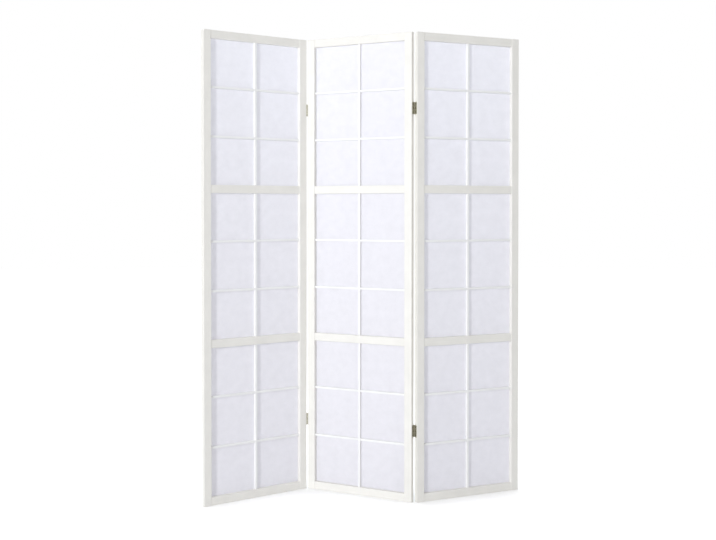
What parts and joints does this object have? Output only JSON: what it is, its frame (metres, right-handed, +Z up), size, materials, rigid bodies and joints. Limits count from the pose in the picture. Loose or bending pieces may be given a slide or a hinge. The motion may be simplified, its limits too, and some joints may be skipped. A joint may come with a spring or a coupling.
{
  "type": "folding screen",
  "caption": "Hinged timber room divider in a zigzag: framed panels with a slender lattice in front of white paper.",
  "frame": {"origin": "on the floor, at the middle of the box of the screen as it stands in the picture's zigzag", "axes": "+X to the right seen from the front, +Y away from the front, +Z up; the front view looks along +Y"},
  "size_m": [1.1972, 0.2668, 1.75],
  "materials": {
    "white_frame": "painted white, satin",
    "white_lattice": "painted white, satin",
    "paper": "matt non-woven paper",
    "dowel_wood": "bare beech",
    "hinge_brass": "antiqued, dull olive grey",
    "hinge_pin": "antiqued, dull",
    "hinge_screws": "dark bronzed"
  },
  "bodies": {
    "left_panel": {"left_panel_left_stile": "white_frame", "left_panel_right_stile": "white_frame", "left_panel_top_rail": "white_frame", "left_panel_upper_rail": "white_frame", "left_panel_lower_rail": "white_frame", "left_panel_bottom_rail": "white_frame", "left_panel_top_upright_muntin": "white_lattice", "left_panel_top_paper": "paper", "left_panel_middle_upright_muntin": "white_lattice", "left_panel_middle_paper": "paper", "left_panel_bottom_upright_muntin": "white_lattice", "left_panel_bottom_paper": "paper", "left_panel_cross_muntins": "white_lattice", "left_panel_dowels": "dowel_wood", "left_panel_right_hinge_screws": "hinge_screws", "left_fold_lower_hinge_outer_leaf": "hinge_brass", "left_fold_upper_hinge_outer_leaf": "hinge_brass"},
    "centre_panel": {"centre_panel_left_stile": "white_frame", "centre_panel_right_stile": "white_frame", "centre_panel_top_rail": "white_frame", "centre_panel_upper_rail": "white_frame", "centre_panel_lower_rail": "white_frame", "centre_panel_bottom_rail": "white_frame", "centre_panel_top_upright_muntin": "white_lattice", "centre_panel_top_paper": "paper", "centre_panel_middle_upright_muntin": "white_lattice", "centre_panel_middle_paper": "paper", "centre_panel_bottom_upright_muntin": "white_lattice", "centre_panel_bottom_paper": "paper", "centre_panel_cross_muntins": "white_lattice", "centre_panel_dowels": "dowel_wood", "centre_panel_left_hinge_screws": "hinge_screws", "centre_panel_right_hinge_screws": "hinge_screws", "left_fold_lower_hinge_inner_leaf": "hinge_brass", "left_fold_lower_hinge_pin": "hinge_pin", "left_fold_upper_hinge_inner_leaf": "hinge_brass", "left_fold_upper_hinge_pin": "hinge_pin", "right_fold_lower_hinge_inner_leaf": "hinge_brass", "right_fold_lower_hinge_pin": "hinge_pin", "right_fold_upper_hinge_inner_leaf": "hinge_brass", "right_fold_upper_hinge_pin": "hinge_pin"},
    "right_panel": {"right_panel_left_stile": "white_frame", "right_panel_right_stile": "white_frame", "right_panel_top_rail": "white_frame", "right_panel_upper_rail": "white_frame", "right_panel_lower_rail": "white_frame", "right_panel_bottom_rail": "white_frame", "right_panel_top_upright_muntin": "white_lattice", "right_panel_top_paper": "paper", "right_panel_middle_upright_muntin": "white_lattice", "right_panel_middle_paper": "paper", "right_panel_bottom_upright_muntin": "white_lattice", "right_panel_bottom_paper": "paper", "right_panel_cross_muntins": "white_lattice", "right_panel_dowels": "dowel_wood", "right_panel_left_hinge_screws": "hinge_screws", "right_fold_lower_hinge_outer_leaf": "hinge_brass", "right_fold_upper_hinge_outer_leaf": "hinge_brass"}
  },
  "joints": [
    {"name": "left_fold", "type": "hinge", "parent": "centre_panel", "child": "left_panel", "pos_m": [-0.22287, 0.11428, 0.875], "axis": [0, 0, 1], "range_deg": [-60.5, 119.5]},
    {"name": "right_fold", "type": "hinge", "parent": "centre_panel", "child": "right_panel", "pos_m": [0.18545, -0.05773, 0.875], "axis": [0, 0, 1], "range_deg": [-49.5, 130.5]}
  ]
}
